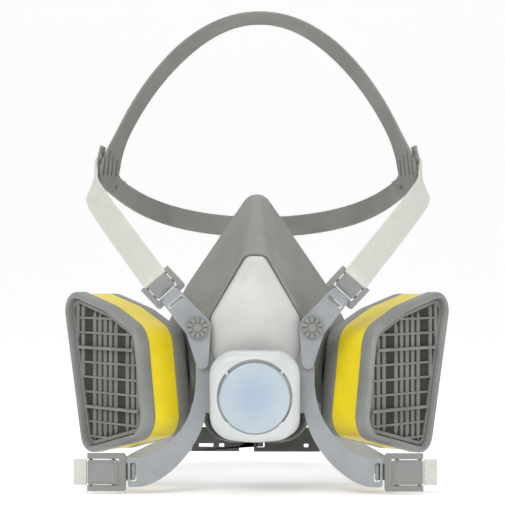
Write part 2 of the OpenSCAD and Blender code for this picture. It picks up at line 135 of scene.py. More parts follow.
def relief(tree, shader, height, strength, distance, invert=False):
    """Bump of the shader's surface, with distance in metres."""
    made = node(tree, "ShaderNodeBump", Strength=strength, Distance=distance)
    made.invert = invert
    tree.links.new(height, made.inputs["Height"])
    tree.links.new(made.outputs["Normal"], shader.inputs["Normal"])


def surface(name, light, dark, rough, spread=0.06, mottle=60, grain=1500, bump=0.00004, wear=None, **sockets):
    """Moulded material: a mottled colour, a fine grain in its bump and roughness, and paler worn edges."""
    material, tree, shader, where = blank(name)
    for key, value in sockets.items():
        shader.inputs[key.replace("_", " ")].default_value = value
    blotch = node(tree, "ShaderNodeTexNoise", Scale=mottle, Detail=4.0, Roughness=0.6)
    tree.links.new(where.outputs["Object"], blotch.inputs["Vector"])
    colour = colour_ramp(tree, blotch.outputs["Fac"], dark, light, (0.35, 0.68))
    if wear:
        shape = node(tree, "ShaderNodeNewGeometry")
        edge = map_range(tree, shape.outputs["Pointiness"], (0.53, 0.62), (0.0, 0.5))
        colour = mix_colour(tree, edge, colour, wear)
    tree.links.new(colour, shader.inputs["Base Color"])
    fine = node(tree, "ShaderNodeTexNoise", Scale=grain, Detail=3.0, Roughness=0.55)
    tree.links.new(where.outputs["Object"], fine.inputs["Vector"])
    gloss = map_range(tree, blotch.outputs["Fac"], result=(rough - spread, rough + spread))
    tree.links.new(gloss, shader.inputs["Roughness"])
    relief(tree, shader, fine.outputs["Fac"], 0.6, bump)
    return material


def woven(name, light, dark, pitch=0.0011):
    """Elastic webbing: rows of small stitches along U and V, which are in metres."""
    material, tree, shader, where = blank(name)
    links = tree.links
    shader.inputs["Roughness"].default_value = 0.75
    shader.inputs["Sheen Weight"].default_value = 0.25
    shader.inputs["Subsurface Weight"].default_value = 0.15
    shader.inputs["Subsurface Scale"].default_value = 0.002
    split = node(tree, "ShaderNodeSeparateXYZ")
    links.new(where.outputs["UV"], split.inputs["Vector"])
    cross = node(tree, "ShaderNodeMath", operation="MULTIPLY")
    for number, (axis, length) in enumerate((("X", pitch), ("Y", pitch * 0.8))):
        phase = node(tree, "ShaderNodeMath", operation="MULTIPLY", in_1=2 * math.pi / length)
        links.new(split.outputs[axis], phase.inputs[0])
        wave = node(tree, "ShaderNodeMath", operation="SINE")
        links.new(phase.outputs[0], wave.inputs[0])
        links.new(wave.outputs[0], cross.inputs[number])
    height = map_range(tree, cross.outputs[0], (-1.0, 1.0))
    blotch = node(tree, "ShaderNodeTexNoise", Scale=180.0, Detail=5.0)
    links.new(where.outputs["Object"], blotch.inputs["Vector"])
    shade = node(tree, "ShaderNodeMix", data_type="FLOAT", in_0=0.45)
    links.new(height, shade.inputs[2])
    links.new(blotch.outputs["Fac"], shade.inputs[3])
    colour = colour_ramp(tree, shade.outputs[0], dark, light, (0.15, 0.75))
    links.new(colour, shader.inputs["Base Color"])
    relief(tree, shader, height, 0.7, 0.00012)
    return material


def speckled(name, light, dark, scale, rough):
    """Granules or fibres: a strong small pattern in colour and bump."""
    material, tree, shader, where = blank(name)
    shader.inputs["Roughness"].default_value = rough
    cells = node(tree, "ShaderNodeTexVoronoi", Scale=scale)
    tree.links.new(where.outputs["Object"], cells.inputs["Vector"])
    colour = colour_ramp(tree, cells.outputs["Distance"], light, dark)
    tree.links.new(colour, shader.inputs["Base Color"])
    relief(tree, shader, cells.outputs["Distance"], 0.8, 0.0003, invert=True)
    return material


def paint_shade_below(material, low, high, colour):
    """Painted shade: mixes in colour below the height low, in metres, fading out by the height high."""
    tree = material.node_tree
    where = node(tree, "ShaderNodeTexCoord")
    split = node(tree, "ShaderNodeSeparateXYZ")
    tree.links.new(where.outputs["Object"], split.inputs["Vector"])
    fade = map_range(tree, split.outputs["Z"], (low, high), interpolation_type="SMOOTHSTEP")
    tint(tree, tree.nodes["Principled BSDF"], fade, colour)


RUBBER = surface("rubber", (139, 140, 134), (126, 127, 121), 0.52, mottle=35, grain=900, bump=0.00005,
                 Subsurface_Weight=0.05, Subsurface_Scale=0.002, Specular_IOR_Level=0.35)


# Painted shade under the chin: the rubber darkens towards its lowest part, where the chin lies in shade
paint_shade_below(RUBBER, -0.05, -0.034, (74, 76, 72))
CREAM = surface("cream_plastic", (193, 193, 190), (185, 185, 182), 0.42, wear=(206, 206, 203))
COVER = surface("cover_plastic", (198, 202, 201), (190, 194, 194), 0.36, wear=(209, 212, 211),
                Subsurface_Weight=0.1, Subsurface_Scale=0.002)
MILKY = surface("milky_plastic", (174, 179, 182), (160, 165, 169), 0.3, Transmission_Weight=0.3, IOR=1.45,
                Subsurface_Weight=0.2, Subsurface_Scale=0.002)
GREY = surface("grey_plastic", (134, 136, 133), (123, 125, 122), 0.46, wear=(154, 156, 153))
CRADLE = surface("cradle_plastic", (130, 131, 125), (116, 117, 111), 0.5, mottle=40, wear=(144, 145, 139))
GRILLE = surface("grille_plastic", (124, 125, 120), (110, 111, 106), 0.44, wear=(146, 147, 142))
METAL = surface("rivet_plastic", (122, 126, 117), (100, 104, 96), 0.4, mottle=400, wear=(140, 143, 135))
DARK = surface("dark_plastic", (74, 76, 71), (60, 62, 58), 0.42, wear=(94, 96, 92))
YELLOW = surface("yellow_label", (238, 216, 38), (228, 202, 26), 0.34, mottle=45, grain=2500, bump=0.00002)
BLACK = surface("black_rubber", (40, 40, 40), (30, 30, 30), 0.6)
SILICONE = surface("silicone", (226, 228, 224), (214, 216, 212), 0.3, Transmission_Weight=0.2,
                   Subsurface_Weight=0.2, Subsurface_Scale=0.002)
PORT = surface("port_plastic", (216, 215, 209), (204, 203, 198), 0.44)
WEBBING = woven("webbing", (203, 204, 196), (184, 185, 176))
CARBON = speckled("carbon", (58, 58, 58), (20, 20, 20), 900.0, 0.8)
CLOTH = speckled("filter_cloth", (62, 63, 60), (38, 39, 37), 1400.0, 0.9)


DISC_CENTRE = (0, -0.0705, -0.0353)


def disc_material():
    """Pale blue plastic, bluer towards the middle of the disc."""
    material = surface("pale_blue_disc", (178, 189, 197), (170, 182, 191), 0.34, mottle=90,
                       Subsurface_Weight=0.15, Subsurface_Scale=0.002)
    tree = material.node_tree
    where = node(tree, "ShaderNodeTexCoord")
    span = node(tree, "ShaderNodeVectorMath", operation="DISTANCE", in_1=DISC_CENTRE)
    tree.links.new(where.outputs["Object"], span.inputs[0])
    fade = map_range(tree, span.outputs["Value"], (0.004, 0.013))
    tint(tree, tree.nodes["Principled BSDF"], fade, (158, 175, 192))
    return material


DISC = disc_material()

# ---------------------------------------------------------------- outlines, all in millimetres


def lerp(a, b, t):
    """The value at t on the way from a to b."""
    return a + (b - a) * t


def ease(t):
    """Smooth step from 0 to 1, flat outside them."""
    t = min(max(t, 0.0), 1.0)
    return t * t * (3 - 2 * t)


def grow(circles, d):
    """The circles of an outline moved out by d."""
    return [(x, y, max(r + d, 0.3)) for x, y, r in circles]


def mix_circles(a, b, t):
    """The circles at t on the way from the outline a to the outline b."""
    return [tuple(lerp(p, q, t) for p, q in zip(c, d)) for c, d in zip(a, b)]


def both_sides(circles):
    """The circles with their mirror images."""
    return list(circles) + [(-x, y, r) for x, y, r in circles]


def outline(circles, n, start=90.0, dense=1440):
    """The outline stretched round circles, as n points spaced evenly along it, from the angle start."""
    points = []
    for k in range(dense):
        a = math.radians(start + 360 * (k + 0.5) / dense)
        c, s = math.cos(a), math.sin(a)
        x, y, r = max(circles, key=lambda q: q[0] * c + q[1] * s + q[2])
        points.append((x + r * c, y + r * s))
    return resample(points, n)


def resample(points, n):
    """n points spaced evenly along a closed loop."""
    steps = [0.0]
    closed = points + [points[0]]
    for p, q in zip(closed, closed[1:]):
        steps.append(steps[-1] + math.dist(p, q))
    made = []
    k = 0
    for i in range(n):
        goal = steps[-1] * i / n
        while steps[k + 1] < goal:
            k += 1
        span = steps[k + 1] - steps[k]
        t = (goal - steps[k]) / span if span > 1e-9 else 0
        made.append(tuple(lerp(u, v, t) for u, v in zip(closed[k], closed[k + 1])))
    return made


def polar(r, degrees, x=0.0, y=0.0):
    """The point at r and degrees round (x, y)."""
    a = math.radians(degrees)
    return (x + r * math.cos(a), y + r * math.sin(a))


def circle(x, y, r, n=64):
    return [polar(r, 360 * k / n, x, y) for k in range(n)]


def rounded(w, h, r, x=0.0, y=0.0, n=48):
    """Rounded rectangle round (x, y)."""
    cx, cy = w / 2 - r, h / 2 - r
    return outline([(x + i * cx, y + j * cy, r) for i in (-1, 1) for j in (-1, 1)], n, dense=720)


def bezier(points, t):
    """The point at t on the Bezier curve steered by points."""
    points = [Vector(p) for p in points]
    while len(points) > 1:
        points = [p.lerp(q, t) for p, q in zip(points, points[1:])]
    return points[0]


# ---------------------------------------------------------------- meshes


def clean(mesh, distance):
    """Merges points closer than distance and turns every face outwards."""
    work = bmesh.new()
    work.from_mesh(mesh)
    bmesh.ops.remove_doubles(work, verts=work.verts, dist=distance)
    bmesh.ops.recalc_face_normals(work, faces=work.faces)
    work.to_mesh(mesh)
    work.free()


def show(name, mesh):
    """A new object in the scene."""
    made = bpy.data.objects.new(name, mesh)
    bpy.context.scene.collection.objects.link(made)
    return made


def mesh_object(name, verts, faces):
    """A new object from points in millimetres."""
    mesh = bpy.data.meshes.new(name)
    mesh.from_pydata([[c * MM for c in v] for v in verts], [], faces)
    clean(mesh, 1e-6)
    return show(name, mesh)


def skin(name, rings, closed=False, caps=(True, True)):
    """Surface through rings of points; closed joins the last ring to the first."""
    n = len(rings[0])
    verts = [p for r in rings for p in r]
    last = len(rings) if closed else len(rings) - 1
    faces = []
    for i in range(last):
        a, b = i * n, ((i + 1) % len(rings)) * n
        faces += [(a + k, a + (k + 1) % n, b + (k + 1) % n, b + k) for k in range(n)]
    if not closed:
        if caps[0]:
            faces.append(tuple(range(n)))
        if caps[1]:
            faces.append(tuple(range(n * len(rings) - n, n * len(rings)))[::-1])
    return mesh_object(name, verts, faces)


def slab(name, loops, low, high, edge=0.35, steps=3):
    """Plate through 2-D loops, the first outside and the others holes, between local z low and high."""
    data = bpy.data.curves.new(name, "CURVE")
    data.dimensions = "2D"
    data.fill_mode = "BOTH"
    for loop in loops:
        spline = data.splines.new("POLY")
        spline.points.add(len(loop) - 1)
        for point, (x, y) in zip(spline.points, loop):
            point.co = (x * MM, y * MM, 0, 1)
        spline.use_cyclic_u = True
    data.extrude = ((high - low) / 2 - edge) * MM
    data.bevel_depth = edge * MM
    data.bevel_resolution = steps
    data.offset = -edge * MM
    flat = show(name, data)
    graph = bpy.context.evaluated_depsgraph_get()
    mesh = bpy.data.meshes.new_from_object(flat.evaluated_get(graph))
    bpy.data.objects.remove(flat)
    mesh.transform(Matrix.Translation((0, 0, (high + low) / 2 * MM)))
    made = show(name, mesh)
    clean(mesh, 2e-6)
    return made


def raised(loop, height):
    """A 2-D loop as points at height."""
    return [(x, y, height) for x, y in loop]


def cylinder(name, r, low, high, n=96, x=0.0, y=0.0):
    return skin(name, [raised(circle(x, y, r, n), h) for h in (low, high)])


def lathe(name, profile, n=96, x=0.0, y=0.0):
    """Turned solid: profile is (radius, height) from one end of the axis to the other."""
    return skin(name, [raised(circle(x, y, r, n), h) for r, h in profile])


def block(name, low, high, edge=0.25):
    """Box between two corners with rounded edges."""
    w, h = high[0] - low[0], high[1] - low[1]
    corner = min(0.45 * w, 0.45 * h, 0.8)
    loop = rounded(w, h, corner, (high[0] + low[0]) / 2, (high[1] + low[1]) / 2, 32)
    return slab(name, [loop], low[2], high[2], min(edge, (high[2] - low[2]) * 0.4), 2)


def apply_modifiers(made):
    """Gives the object the mesh that its modifiers make."""
    graph = bpy.context.evaluated_depsgraph_get()
    mesh = bpy.data.meshes.new_from_object(made.evaluated_get(graph))
    made.modifiers.clear()
    old = made.data
    made.data = mesh
    bpy.data.meshes.remove(old)
    return made


def cut(made, *tools, how="DIFFERENCE"):
    """Takes the tools away from the object, or joins them on with UNION, and deletes them."""
    for tool in tools:
        step = made.modifiers.new("cut", "BOOLEAN")
        step.object = tool
        step.operation = how
        step.solver = "EXACT"
    apply_modifiers(made)
    for tool in tools:
        bpy.data.objects.remove(tool)
    return made


def join(name, parts):
    """One object from several, in order."""
    whole = bmesh.new()
    for part in parts:
        copy = part.data.copy()
        copy.transform(part.matrix_world)
        whole.from_mesh(copy)
        bpy.data.meshes.remove(copy)
        bpy.data.objects.remove(part)
    mesh = bpy.data.meshes.new(name)
    whole.to_mesh(mesh)
    whole.free()
    return show(name, mesh)


def remesh(made, voxel, rounds):
    """Rebuilds the mesh evenly from voxels and rounds its edges a little."""
    smooth = made.modifiers.new("remesh", "REMESH")
    smooth.mode = "VOXEL"
    smooth.voxel_size = voxel * MM
    relax = made.modifiers.new("relax", "SMOOTH")
    relax.factor = 0.5
    relax.iterations = rounds
    return apply_modifiers(made)


def place(made, matrix, side=1):
    """Moves the mesh from its local frame, in millimetres, to the row frame; side -1 mirrors it."""
    move = matrix.copy()
    move.translation = move.translation * MM
    if side < 0:
        move = Matrix.Diagonal((-1, 1, 1, 1)) @ move
    made.data.transform(move)
    if side < 0:
        made.data.flip_normals()
    made.data.update()
    return made


def shade_smooth(made, sharp):
    """Smooth shading, but for edges sharper than sharp degrees."""
    made.data.polygons.foreach_set("use_smooth", [True] * len(made.data.polygons))
    made.data.set_sharp_from_angle(angle=math.radians(sharp))


def finish(made, name, material, body, replaced=(), sharp=35):
    """Names a piece, paints it and says what it rides on and replaces."""
    made.name = name
    made.data.name = name
    made.data.materials.clear()
    made.data.materials.append(material)
    shade_smooth(made, sharp)
    if body:
        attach(made, body)
    if replaced:
        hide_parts(*replaced)
    return made


def keep_node(name, material, bevel=0.3):
    """A CAD node shown as it is, with its edges rounded and a finished material."""
    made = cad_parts[name]
    made.data.materials.clear()
    made.data.materials.append(material)
    if bevel:
        weld = made.modifiers.new("weld", "WELD")
        weld.merge_threshold = 1e-5
        flat = made.modifiers.new("flat", "DECIMATE")
        flat.decimate_type = "DISSOLVE"
        flat.angle_limit = math.radians(1.0)
        edge = made.modifiers.new("edge", "BEVEL")
        edge.width = bevel * MM
        edge.segments = 3
        edge.limit_method = "ANGLE"
        edge.angle_limit = math.radians(40)
        edge.use_clamp_overlap = True
    shade_smooth(made, 30)
    return made


SIDES = ((-1, "left"), (1, "right"))


def at(x, y, z):
    return Matrix.Translation((x, y, z))


def turn(degrees, axis):
    return Matrix.Rotation(math.radians(degrees), 4, axis)


# From a local frame with y up and z out of the front to the row frame
UPRIGHT = turn(90, "X")


# ---------------------------------------------------------------- faceblank

SEAL = both_sides([(0, 53.5, 7.5), (17.9, 5, 20), (26, -20, 24), (9, -43.5, 17.5)])
FRONT = both_sides([(2.2, 26, 5.6), (14.9, -2, 8), (14.9, -2, 8), (13.3, -47, 9.5)])
SEAL_HALF_W = 50
CHEEK_BACK = 8
FRONT_DEPTH = 50
WALL = 2.4
SKIN_N = 220


def lean(z):
    """How far the front leans back at the height z, towards the nose and the chin."""
    return 9 * (max(z, 0) / 31) ** 2 + 3 * (max(-z - 40, 0) / 15) ** 2


def skin_ring(s, d, dy=0.0, ridge=0.0):
    """Ring at s from the face seal to the front, grown by d and moved by dy, with the nose's ridge."""
    ring = []
    for x, z in outline(grow(mix_circles(SEAL, FRONT, s), d), SKIN_N):
        y = -FRONT_DEPTH * s + dy + CHEEK_BACK * (x / SEAL_HALF_W) ** 2 * (1 - s) ** 2 + s * lean(z)
        if ridge and z > 0:
            half = lerp(1.6, 6.6, s)
            up = ease((half + 1.2 - abs(x)) / 2.4)
            dip = ease(1 - abs(abs(x) - half - 3.2) / 3.2)
            z += ridge * (0.9 * up - 0.8 * dip) * ease(z / 22)
        ring.append((x, y, z))
    return ring


PORT_R = 13.0
CARTRIDGE_T = 30.2
CARTRIDGE = at(48.36, -13.65, 0) @ turn(54, "Z") @ turn(90, "X")
PORT_AT = (-8, -27)
PORT_FRAME = CARTRIDGE @ at(*PORT_AT, 0)
BULGE = 1.6
BULGE_END = 0.9


def bulge(s):
    """How far the skin swells between the face seal and the front."""
    if s < BULGE_END:
        return BULGE * math.sin(math.pi * s)
    return BULGE * math.sin(math.pi * BULGE_END) * (1 - s) / (1 - BULGE_END)


# The section past the outer skin, as (s, growth, shift in Y, ridge)
FRONT_RIM = [(0.97, 0.2, 0, 1), (0.985, 0.75, 0, 0.8), (1, 0.9, -0.4, 0.5), (1, 0.7, -1.6, 0.3),
             (1, 0.1, -2.3, 0), (1, -0.6, -2.3, 0), (1, -0.95, -1.4, 0), (1, -1.3, 0.1, 0),
             (1, -WALL, 0.1, 0)]
INSIDE_STEPS = (0.96, 0.9, 0.82, 0.74, 0.66, 0.58, 0.5, 0.42, 0.34, 0.26, 0.2)
SEAL_LIP = [(0.14, -3.2, 0, 0), (0.1, -4.6, 0, 0), (0.06, -6.2, 0, 0), (0.02, -7.6, 0, 0), (0, -8, 0.8, 0),
            (0, -7.8, 1.8, 0), (0, -7, 2.4, 0), (0, -5.2, 2.7, 0), (0, -3, 2.5, 0), (0, -1.5, 2.1, 0),
            (0, -0.5, 1.3, 0), (0, 0, 0.3, 0)]
# Turned collar round each port, as (radius, height)
COLLAR = [(0, -11.5), (15.6, -11.5), (16.6, -10.4), (18.2, -7), (18.4, -4), (18.2, -2.7), (17.6, -2.02),
          (0, -2.02)]


def faceblank():
    """Soft shell from the front rim over the outside to the turned-in lip, with a collar for each port."""
    outside = [(s, bulge(s), 0, ease((s - 0.02) / 0.2)) for s in [0.02 + 0.93 * k / 30 for k in range(31)]]
    inside = [(s, bulge(s) - WALL, 0, 0) for s in INSIDE_STEPS]
    rings = [skin_ring(*step) for step in outside + FRONT_RIM + inside + SEAL_LIP]
    made = skin("faceblank_rubber", rings, closed=True)
    for side, _ in SIDES:
        cut(made, place(lathe("collar", COLLAR), PORT_FRAME, side), how="UNION")
    for side, _ in SIDES:
        bore = place(cylinder("bore", PORT_R + 0.05, -45, 5), PORT_FRAME, side)
        seat = place(cylinder("seat", PORT_R + 1.4, -45, -13.1), PORT_FRAME, side)
        cut(made, bore, seat)
    remesh(made, 0.75, 5)
    finish(made, "faceblank_rubber", RUBBER, "facepiece", ["faceblank"], sharp=180)


faceblank()

# ---------------------------------------------------------------- front shell, valve and cover

SHELL = both_sides([(1.6, 25.6, 4.6), (13.8, -1, 7.5), (12.8, -47, 8.5)])
SHELL_Y = -50.0
VALVE_Z = -35.3
COVER_Y = -60.1
COVER_BASE = -COVER_Y - FRONT_DEPTH
COVER_D = 10.8
VALVE = at(0, SHELL_Y, VALVE_Z) @ UPRIGHT
SHELL_N = 200


def shell_ring(d, dy):
    """Outline of the front shell grown by d, at dy from the faceblank's front."""
    return [(x, SHELL_Y + dy + lean(z), z) for x, z in outline(grow(SHELL, d), SHELL_N)]


def front_shell():
    """Rounded shell, crowned between the nose and the valve's neck, with a hollow back."""
    edge = [(0, -0.1), (0, -1.9), (-0.15, -2.6), (-0.55, -3.2), (-1.2, -3.65), (-2.1, -3.95), (-3.4, -4.15)]
    rings = [shell_ring(d, dy) for d, dy in edge]
    edge = rings[-1]
    for k in range(1, 10):
        t = k / 9
        ring = []
        for x, y, z in edge:
            crown = 1.1 * (1 - (1 - t) ** 2) * ease((z + 14) / 10) * ease((31 - z) / 14)
            flat = 0.2 * (1 - (1 - t) ** 2)
            ring.append((x * (1 - t) * 0.999, y - crown - flat, z))
        rings.append(ring)
    made = skin("front_shell_moulding", rings, caps=(True, False))
    hollow = skin("hollow", [shell_ring(-2.2, 1), shell_ring(-2.2, -1), shell_ring(-4, -2.2)])
    neck = place(cylinder("neck", 18.05, -20, 20), VALVE)
    cut(made, hollow, neck)
    finish(made, "front_shell_moulding", CREAM, "facepiece", ["front_shell"], sharp=50)


COVER_CIRCLES = both_sides([(9.2, 9.4, 12), (9.0, -8.6, 12), (1, -9.4, 12)])
# Side of the cover from its base to its top edge, as (growth, height)
COVER_SIDE = [(0, 0), (0, 5.6), (-0.15, 6.9), (-0.55, 8.0), (-1.25, 8.9), (-2.2, 9.65), (-3.4, 10.2),
              (-4.8, 10.55)]
NECK_R = 18.1
SLOT_R = 17.6
DISC_R = 16.4
DISC_DROP = -0.55
# Each slot of the cover as its start and its span in degrees, its width and its depth
COVER_SLOTS = ((46, 89, 1.7, 2.95), (143, 78, 1.0, 2.6), (229, 81, 0.7, 1.2), (319.5, 79.5, 1.0, 2.6))


def arc_slot(start, span, width, low, high, steps=36):
    """Cutter for one arc of the ring of slots, with round ends."""
    middle, half = SLOT_R - width / 2, width / 2

    def arc(r):
        return [polar(r, start + span * k / steps) for k in range(steps + 1)]

    def round_end(degrees, first):
        return [polar(half, degrees + first + 180 * k / 8, *polar(middle, degrees)) for k in range(1, 8)]

    loop = arc(middle + half) + round_end(start + span, 0) + arc(middle - half)[::-1] + round_end(start, 180)
    return skin("slot", [raised(loop, low), raised(loop, high)])


def valve_cover():
    """Rounded cover over the valve, with a ring of slots round the recess for the disc."""
    made = skin("valve_cover_moulding", [raised(outline(grow(COVER_CIRCLES, d), 200), COVER_BASE + h)
                                         for d, h in COVER_SIDE])
    top = COVER_BASE + COVER_D
    tools = [cylinder("hollow", SLOT_R + 0.8, COVER_BASE + 1.3, top - 3.1, 128),
             cylinder("neck", NECK_R, COVER_BASE - 3, COVER_BASE + 6.8, 128),
             cylinder("recess", DISC_R + 0.25, top - 1.4, top + 4, 128, 0, DISC_DROP)]
    tools += [arc_slot(start, span, width, top - depth, top + 3) for start, span, width, depth in COVER_SLOTS]
    for tool in tools:
        cut(made, tool)
    place(made, VALVE)
    finish(made, "valve_cover_moulding", COVER, "facepiece", ["valve_cover"], sharp=40)


def cover_disc():
    """Pale disc with a fine concentric relief in place of any mark."""
    base = COVER_BASE + COVER_D - 1.38
    ring_pitch, ring_height, rings_end = 3.2, 0.07, 12.6
    profile = [(0, base), (DISC_R - 0.2, base), (DISC_R, base + 0.25), (DISC_R, base + 0.75),
               (DISC_R - 0.3, base + 1.05)]
    for k in range(1, 30):
        r = (DISC_R - 0.4) * (1 - k / 30)
        ring = ring_height * math.cos(2 * math.pi * r / ring_pitch) * ease((r - 3) / 2)
        ring = ring if r < rings_end else 0
        profile.append((r, base + 1.12 + 0.16 * (1 - (r / DISC_R) ** 2) + ring))
    profile.append((0, base + 1.28))
    made = place(lathe("cover_disc_moulding", profile, 128, 0, DISC_DROP), VALVE)
    finish(made, "cover_disc_moulding", DISC, "facepiece", ["cover_disc"], sharp=60)


front_shell()
valve_cover()
cover_disc()
keep_node("valve_seat", COVER, 0.2)
keep_node("exhalation_valve", SILICONE, 0.15)

# ---------------------------------------------------------------- yoke, links and rivets

PIVOT = (26.8, -3.3)
YOKE_Y = -54.6
YOKE_T = 2.4
RAIL = [(21.9, -4), (21.6, -14), (17, -24), (17, -40), (21.8, -44), (27.9, -40), (27.9, -4)]
ARM_LINE = [(25, -30, 0), (25.2, -50, 0), (33, -60, 0), (46, -71.5, 0), (55, -71.5, 0)]
ARM_HALF = [(3, 0, 0), (4.2, 0, 0), (5.6, 0, 0), (7, 0, 0)]
TAB_END = 59.9
TAB_SLOT_X = 57.3
TAB_Z = -71.5
TAB_HALF = 7


def arm_loop(steps=40, corner=1.2):
    """Outline of one arm of the yoke with the tab at its end."""
    upper, lower = [], []
    for k in range(steps + 1):
        t = k / steps
        p = bezier(ARM_LINE, t)
        along = (bezier(ARM_LINE, min(t + 0.01, 1)) - bezier(ARM_LINE, max(t - 0.01, 0))).normalized()
        across = Vector((-along.y, along.x, 0)) * bezier(ARM_HALF, t).x
        upper.append(tuple((p + across).xy))
        lower.append(tuple((p - across).xy))
    ends = []
    for way, angles in ((1, range(90, -1, -15)), (-1, range(0, -91, -15))):
        ends += [polar(corner, a, TAB_END - corner, TAB_Z + way * (TAB_HALF - corner)) for a in angles]
    return upper + ends + lower[::-1]


def yoke():
    """Ring round the valve's neck with a rail and a curved arm on each side, moulded in one."""
    base = -YOKE_Y
    edge = 0.45
    made = slab("yoke", [circle(0, VALVE_Z, 20.8, 96)], base, base + YOKE_T, edge)
    for side, _ in SIDES:
        for loop in (RAIL, circle(*PIVOT, 5.6, 48), arm_loop()):
            piece = slab("piece", [[(x * side, z) for x, z in loop]], base, base + YOKE_T, edge)
            cut(made, piece, how="UNION")
    tools = [cylinder("neck", NECK_R, base - 5, base + 10, 96, 0, VALVE_Z)]
    for side, _ in SIDES:
        tools.append(cylinder("pin", 2.5, base - 2, base + 6, 32, PIVOT[0] * side, PIVOT[1]))
        slot = rounded(2.8, 9.2, 0.5, TAB_SLOT_X * side, TAB_Z, 24)
        tools.append(slab("slot", [slot], base - 2, base + 6, 0.05, 0))
    for tool in tools:
        cut(made, tool)
    place(made, UPRIGHT)
    finish(made, "yoke_moulding", MILKY, "facepiece", ["yoke"], sharp=40)


yoke()
for side, name in SIDES:
    keep_node("upper_link_" + name, MILKY, 0.4)
    keep_node("pivot_rivet_" + name, METAL, 0.18)
    keep_node("cartridge_gasket_" + name, BLACK, 0.3)
    keep_node("inhalation_port_" + name, PORT, 0.2)
    keep_node("inhalation_valve_" + name, SILICONE, 0.1)
    keep_node("sorbent_bed_" + name, CARBON, 0.2)
    keep_node("dust_screen_" + name, CLOTH, 0.15)
keep_node("neck_clasp_hook", DARK, 0.5)
keep_node("neck_clasp_loop", DARK, 0.5)


def buckle(width, length):
    """Sliding buckle, a U-shaped frame with bars behind a clamping plate.

    Local y runs out along the strap and z forwards.
    """
    rail, cross, thick, corner, gap = 2.7, 3.3, 2.4, 1.3, 0.45
    x0, x1 = width / 2 - rail, width / 2
    y0, y1 = -length / 2, length / 2
    outer = [(-x1, y1), (-x0, y1), (-x0, y0 + cross), (x0, y0 + cross), (x0, y1), (x1, y1)]
    outer += [polar(corner, a, x1 - corner, y0 + corner) for a in range(0, -91, -15)]
    outer += [polar(corner, a, -x1 + corner, y0 + corner) for a in range(-90, -181, -15)]
    plate_w, plate_l = 2 * (x0 - gap), length - cross - gap
    plate_y = (y1 + y0 + cross + gap) / 2 - 0.1
    plate = rounded(plate_w, plate_l - 0.1, 0.7, 0, plate_y)
    pad = rounded(plate_w - 2.2, plate_l - 2.4, 0.6, 0, plate_y)
    parts = [slab("frame", [outer], 0, thick, 0.4), slab("plate", [plate], 0.9, thick + 0.15, 0.35),
             slab("pad", [pad], thick - 0.3, thick + 0.4, 0.2)]
    for y in (y1 - 1.6, y0 + cross + 2.6):
        parts.append(block("rung", (-x1 + 1, y - 0.9, 0.05), (x1 - 1, y + 0.9, 1.05), 0.3))
    parts.append(block("lip", (-x1 + 0.9, y0 + 0.5, thick - 0.3), (x1 - 0.9, y0 + 1.5, thick + 0.35), 0.25))
    return parts


UPPER_BUCKLE = at(43.2, YOKE_Y, 15.2) @ turn(43, "Y") @ UPRIGHT
UPPER_HOOK = at(37.4, YOKE_Y, 8.7) @ turn(42, "Y") @ UPRIGHT
LOWER_BUCKLE = at(69.9, -54.8, -71.5) @ turn(90, "Y") @ UPRIGHT
# The lower buckle's hook round the tab, as blocks (x from, x to, depth from, depth to)
LOWER_HOOK = ((TAB_SLOT_X - 0.8, 64.2, 52.6, 54.15), (61.4, 63.4, 52.3, 55.7),
              (TAB_SLOT_X - 0.85, TAB_SLOT_X + 0.85, 52.8, 56.4))
LOWER_HOOK_Z = (-75.4, -67.6)


def upper_buckle(side, name):
    hook = block("hook", (-3.6, -0.55, 0.05), (3.6, 0.55, 4.7), 0.25)
    place(hook, UPPER_BUCKLE.inverted() @ UPPER_HOOK)
    made = join("upper_buckle_moulding_" + name, buckle(17.2, 12.8) + [hook])
    place(made, UPPER_BUCKLE, side)
    finish(made, made.name, GREY, "link_" + name, ["upper_buckle_" + name])


def lower_buckle(side, name):
    parts = [place(join("lower", buckle(17.9, 18.2)), LOWER_BUCKLE)]
    for x0, x1, y0, y1 in LOWER_HOOK:
        parts.append(place(block("hook", (x0, LOWER_HOOK_Z[0], y0), (x1, LOWER_HOOK_Z[1], y1), 0.3), UPRIGHT))
    made = place(join("lower_buckle_moulding_" + name, parts), Matrix.Identity(4), side)
    finish(made, made.name, GREY, "neck_buckle_" + name, ["lower_buckle_" + name])


for side, name in SIDES:
    upper_buckle(side, name)
    lower_buckle(side, name)

# ---------------------------------------------------------------- webbing

STRAP_W = 12.8
STRAP_T = 1.4


def ribbed_section(w, t, ribs=9, n=72):
    """Flat band's section with fine ribs along its faces and round edges, as (across, out) pairs."""
    half, deep = w / 2 - t / 2, 0.06
    points = []
    for way in (1, -1):
        for k in range(n + 1):
            u = way * (-1 + 2 * k / n)
            rib = deep * math.cos(math.pi * ribs * (u + 1)) * ease((1 - abs(u)) * 6)
            points.append((half * u, way * (t / 2 - deep + rib)))
        for k in range(1, 8):
            a = math.pi * k / 8
            points.append((way * (half + t / 2 * math.sin(a)), way * (t / 2 - deep) * math.cos(a)))
    return points


SECTION = [(x / STRAP_W, y / STRAP_T) for x, y in ribbed_section(STRAP_W, STRAP_T)]


def frames(path, across):
    """Each point of path with the directions of a band's width and of its face there."""
    last = len(path) - 1
    for i, p in enumerate(path):
        t = (path[min(i + 1, last)] - path[max(i - 1, 0)]).normalized()
        side = (across[i] - t * across[i].dot(t)).normalized()
        yield p, side, t.cross(side)


